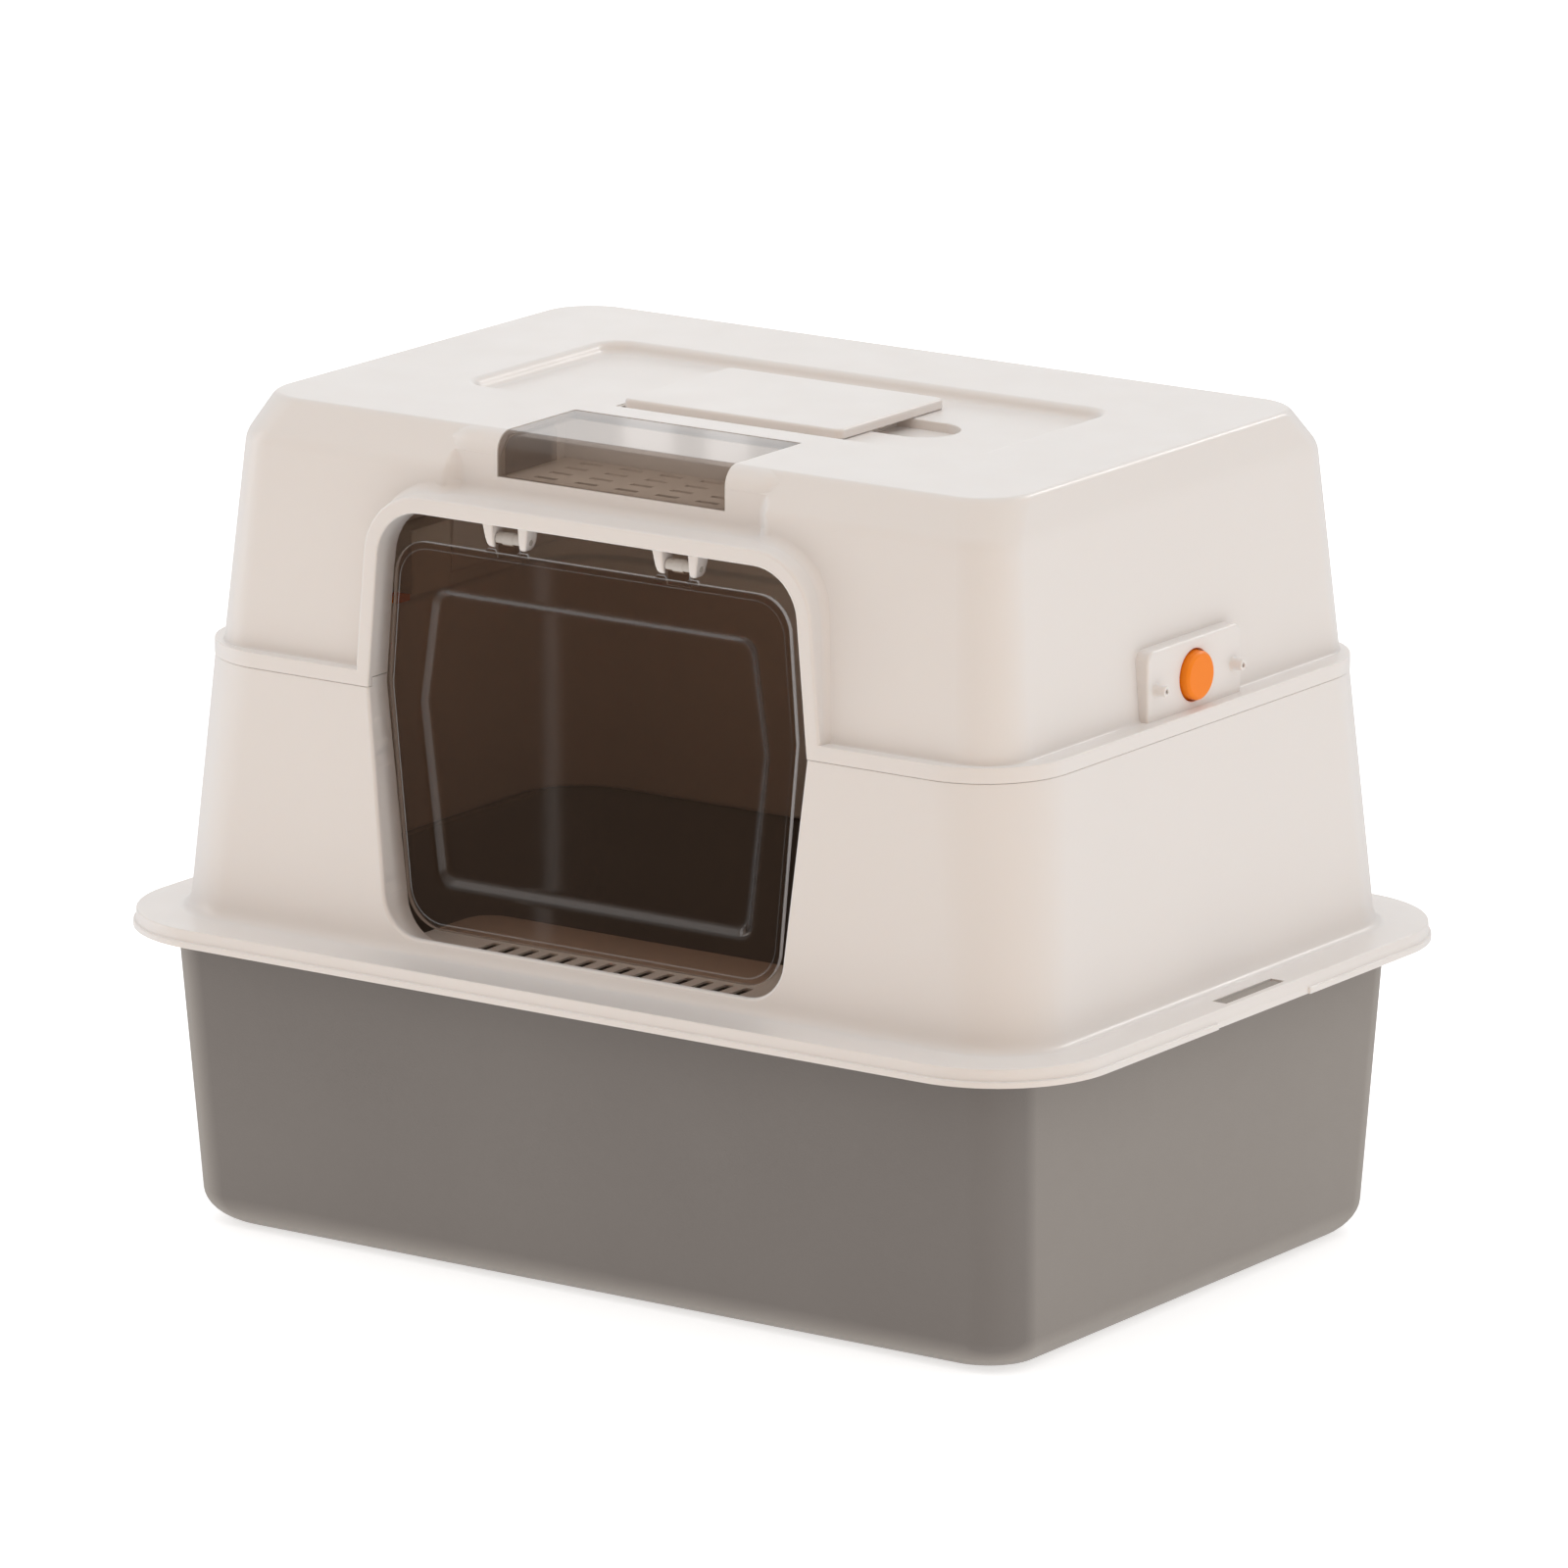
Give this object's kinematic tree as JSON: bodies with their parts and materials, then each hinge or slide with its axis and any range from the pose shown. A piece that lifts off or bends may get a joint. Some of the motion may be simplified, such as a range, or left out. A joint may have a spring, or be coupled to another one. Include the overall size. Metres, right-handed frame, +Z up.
{
  "type": "cat litter box with hood",
  "caption": "Hooded cat litter box with a grey pan, a split cream hood, a smoky swing door, a vent window, a filter box with a hinged lid and sprung release buttons.",
  "frame": {"origin": "centre of the footprint on the floor, at the pan's underside", "axes": "+X along the box's length, +Y towards the back (the door faces -Y), +Z up"},
  "size_m": [0.54, 0.3806, 0.4012],
  "materials": {
    "pan_grey": "fine matte grain",
    "hood_cream": "satin",
    "insert_cream": "satin",
    "smoky_clear": "polished, see-through smoky brown",
    "pin_clear": "polished",
    "button_orange": "satin",
    "spring_steel": "drawn wire",
    "screw_steel": "zinc plated"
  },
  "bodies": {
    "litter_pan": {"litter_pan": "pan_grey"},
    "lower_hood": {"lower_hood": "hood_cream"},
    "upper_hood": {"upper_hood": "hood_cream", "hinge_pin_left": "pin_clear", "hinge_pin_right": "pin_clear", "vent_cover": "smoky_clear", "vent_tray": "insert_cream", "filter_tray": "insert_cream", "latch_housing_right": "insert_cream", "latch_housing_left": "insert_cream", "button_spring_right": "spring_steel", "button_spring_left": "spring_steel", "housing_screw_right_front": "screw_steel", "housing_screw_right_back": "screw_steel", "housing_screw_left_front": "screw_steel", "housing_screw_left_back": "screw_steel", "vent_tray_screw_right": "screw_steel", "vent_tray_screw_left": "screw_steel", "filter_tray_screw_1": "screw_steel", "filter_tray_screw_2": "screw_steel", "filter_tray_screw_3": "screw_steel", "filter_tray_screw_4": "screw_steel"},
    "entry_door": {"entry_door": "smoky_clear"},
    "filter_lid": {"filter_lid": "hood_cream"},
    "release_button_right": {"release_button_right": "button_orange"},
    "release_button_left": {"release_button_left": "button_orange"}
  },
  "joints": [
    {"name": "lower_hood_lift", "type": "slide", "parent": "litter_pan", "child": "lower_hood", "axis": [0, 0, 1], "range_m": [0, 0.25]},
    {"name": "upper_hood_lift", "type": "slide", "parent": "lower_hood", "child": "upper_hood", "axis": [0, 0, 1], "range_m": [0, 0.25]},
    {"name": "door_swing", "type": "hinge", "parent": "upper_hood", "child": "entry_door", "pos_m": [0, -0.149, 0.3548], "axis": [1, 0, 0], "range_deg": [-78, 78]},
    {"name": "filter_lid_hinge", "type": "hinge", "parent": "upper_hood", "child": "filter_lid", "pos_m": [-0.056, 0.0025, 0.3932], "axis": [0, -1, 0], "range_deg": [0, 95]},
    {"name": "button_press_right", "type": "slide", "parent": "upper_hood", "child": "release_button_right", "axis": [-1, 0, 0], "range_m": [0, 0.004], "stiffness_N_per_m": 800, "deforming": ["button_spring_right"]},
    {"name": "button_press_left", "type": "slide", "parent": "upper_hood", "child": "release_button_left", "axis": [1, 0, 0], "range_m": [0, 0.004], "stiffness_N_per_m": 800, "deforming": ["button_spring_left"]}
  ]
}
